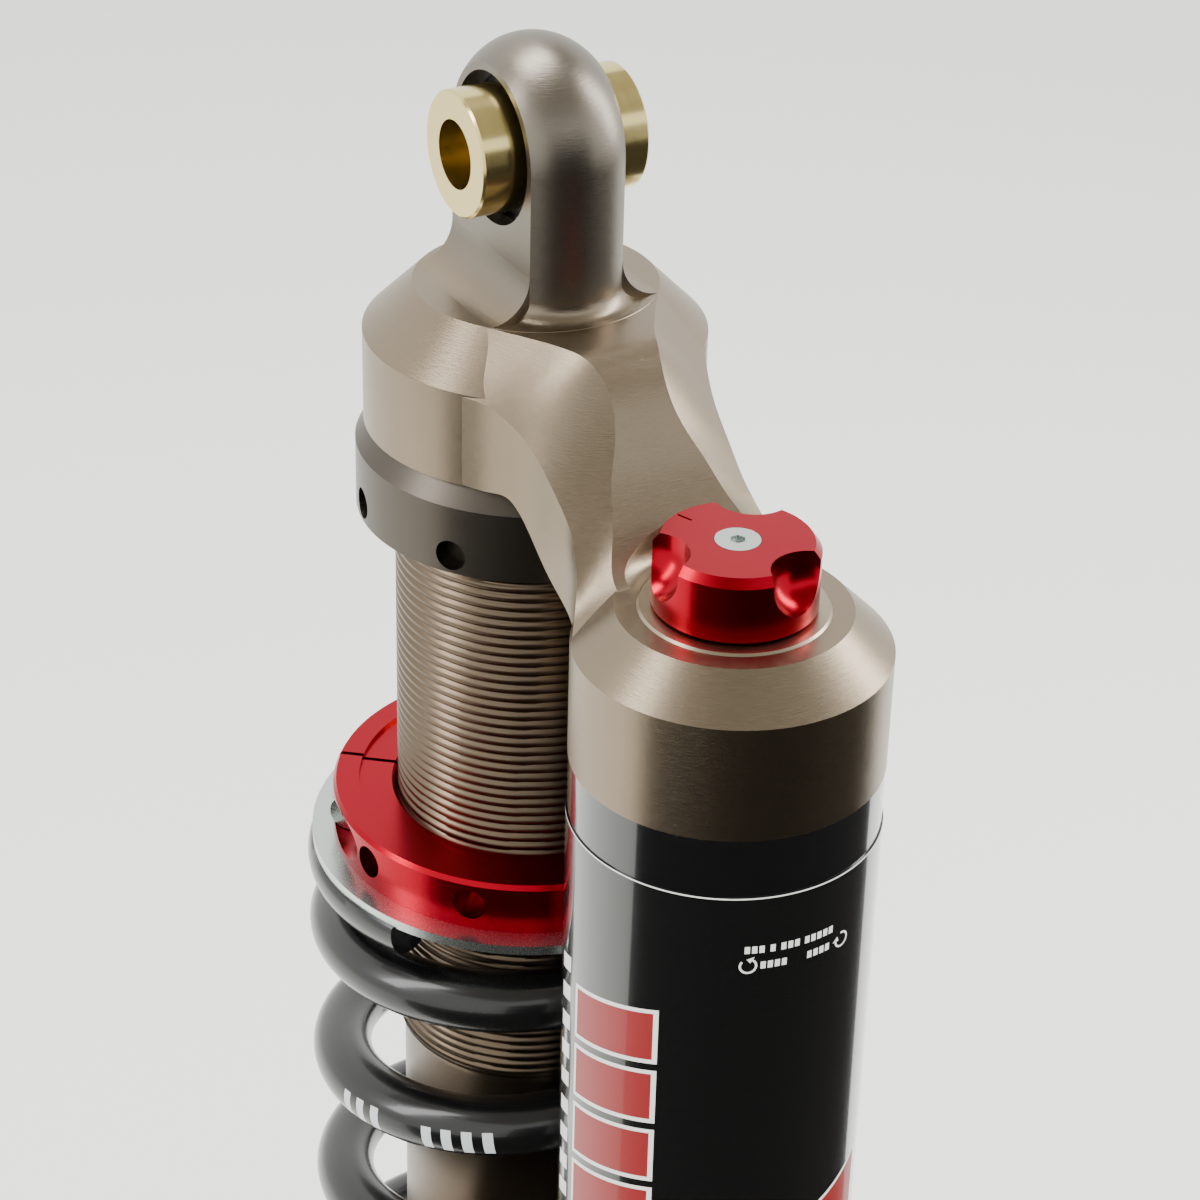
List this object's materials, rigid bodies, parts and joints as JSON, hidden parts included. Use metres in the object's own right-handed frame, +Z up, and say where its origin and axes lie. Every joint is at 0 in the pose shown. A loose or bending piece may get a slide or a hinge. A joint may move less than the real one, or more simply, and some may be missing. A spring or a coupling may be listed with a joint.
{
  "type": "rear shock absorber",
  "caption": "Motorcycle rear shock absorber: coil spring over a threaded damper body, bridged head to a side reservoir, eye at each end.",
  "frame": {"origin": "centre of the upper eye's bolt bore", "axes": "+Z up along the damper body, away from the lower eye; +X along the upper bolt; the reservoir is on the -Y side"},
  "size_m": [0.0898, 0.147, 0.4772],
  "materials": {
    "head_metal": "fine machined, titanium-grey anodised",
    "lug_metal": "anodised, silky",
    "body_metal": "dark hard-anodised thread",
    "ring_metal": "dark anodised",
    "bearing_steel": "dark steel",
    "brass": "turned, pale",
    "red_anodised": "red anodised",
    "zinc_steel": "bright zinc plate",
    "black_powder": "gloss black powder coat",
    "gloss_black": "gloss black",
    "label_film": "printed gloss film",
    "bright_steel": "hard chrome",
    "plain_steel": "plain steel",
    "plain_aluminium": "machined",
    "seal_rubber": "black nitrile",
    "bump_rubber": "black elastomer",
    "bearing_polymer": "filled PTFE"
  },
  "bodies": {
    "body": {"head": "head_metal", "upper_bearing_race": "bearing_steel", "upper_bearing_clips": "bearing_steel", "shock_body": "body_metal", "body_o_ring": "seal_rubber", "body_lock_ring": "ring_metal", "seal_head": "plain_aluminium", "seal_head_o_ring": "seal_rubber", "shaft_seal": "seal_rubber", "seal_head_clip": "plain_steel", "body_end_cap": "ring_metal", "shaft_wiper": "seal_rubber", "topout_bumper": "bump_rubber", "spring": "black_powder", "reservoir_tube": "gloss_black", "reservoir_o_ring": "seal_rubber", "reservoir_label": "label_film", "reservoir_end_cap": "head_metal", "reservoir_clip": "plain_steel", "gas_valve": "plain_steel", "valve_cap": "seal_rubber", "adjuster_body": "ring_metal", "base_valve": "plain_aluminium", "base_valve_shims": "plain_steel", "base_valve_nut": "plain_steel"},
    "upper_ball": {"upper_bearing_ball": "bearing_steel"},
    "upper_spacer_pair": {"upper_spacers": "brass"},
    "spring_seat": {"spring_washer": "zinc_steel"},
    "nut": {"preload_nut": "red_anodised", "preload_clamp_screw": "zinc_steel"},
    "shaft_side": {"shaft": "bright_steel", "rebound_washer": "plain_steel", "rebound_shims": "plain_steel", "damping_piston": "plain_aluminium", "compression_shims": "plain_steel", "compression_washer": "plain_steel", "piston_band": "bearing_polymer", "piston_nut": "plain_steel", "bump_washer": "plain_aluminium", "bump_stop": "bump_rubber", "lower_eye": "head_metal", "lower_bearing_race": "bearing_steel", "lower_bearing_clips": "bearing_steel", "spring_perch": "head_metal", "perch_clip": "plain_steel"},
    "lower_ball": {"lower_bearing_ball": "bearing_steel"},
    "lower_spacer_pair": {"lower_spacers": "brass"},
    "rod": {"rebound_rod": "plain_aluminium"},
    "rebound_screw": {"rebound_adjuster": "red_anodised"},
    "dividing_piston": {"floating_piston": "plain_aluminium", "floating_piston_bands": "bearing_polymer"},
    "knob": {"compression_knob": "red_anodised", "knob_screw": "zinc_steel"},
    "needle": {"compression_needle": "plain_steel"}
  },
  "joints": [
    {"name": "shaft_slide", "type": "slide", "parent": "body", "child": "shaft_side", "axis": [0, 0, 1], "range_m": [0, 0.1016], "stiffness_N_per_m": 62000, "springref_m": -0.006, "deforming": ["spring"]},
    {"name": "floating_piston_slide", "type": "slide", "parent": "body", "child": "dividing_piston", "axis": [0, 0, 1], "range_m": [-0.0107, 0.0003]},
    {"name": "upper_ball_tilt", "type": "hinge", "parent": "body", "child": "upper_ball", "pos_m": [0, 0, 0], "axis": [0, 1, 0], "range_deg": [-7, 7]},
    {"name": "upper_spacer_spin", "type": "hinge", "parent": "upper_ball", "child": "upper_spacer_pair", "pos_m": [0, 0, 0], "axis": [1, 0, 0], "continuous": true},
    {"name": "lower_ball_tilt", "type": "hinge", "parent": "shaft_side", "child": "lower_ball", "pos_m": [0, 0, -0.438], "axis": [0, 1, 0], "range_deg": [-7, 7]},
    {"name": "lower_spacer_spin", "type": "hinge", "parent": "lower_ball", "child": "lower_spacer_pair", "pos_m": [0, 0, -0.438], "axis": [1, 0, 0], "continuous": true},
    {"name": "preload_turn", "type": "hinge", "parent": "spring_seat", "child": "nut", "pos_m": [0, 0, -0.142], "axis": [0, 0, 1], "range_deg": [-2160, 720]},
    {"name": "preload_slide", "type": "slide", "parent": "body", "child": "spring_seat", "axis": [0, 0, 1], "range_m": [-0.0121, 0.0041], "deforming": ["spring"]},
    {"name": "compression_turn", "type": "hinge", "parent": "body", "child": "knob", "pos_m": [0, -0.0738, -0.052], "axis": [0, 0, 1], "range_deg": [-540, 540]},
    {"name": "compression_needle_slide", "type": "slide", "parent": "body", "child": "needle", "axis": [0, 0, 1], "range_m": [-0.00155, 0.00155]},
    {"name": "rebound_turn", "type": "hinge", "parent": "shaft_side", "child": "rebound_screw", "pos_m": [0, -0.0216, -0.4155], "axis": [0, 1, 0], "range_deg": [0, 1080]},
    {"name": "rebound_rod_slide", "type": "slide", "parent": "shaft_side", "child": "rod", "axis": [0, 0, 1], "range_m": [-0.00002, 0.00152]}
  ],
  "couplings": [
    {"joint": "floating_piston_slide", "follows": "shaft_slide", "ratio": -0.1024},
    {"joint": "preload_slide", "follows": "preload_turn", "m_per_rad": 0.00031831},
    {"joint": "compression_needle_slide", "follows": "compression_turn", "m_per_rad": 0.00015915},
    {"joint": "rebound_rod_slide", "follows": "rebound_turn", "m_per_rad": 0.000079577}
  ]
}
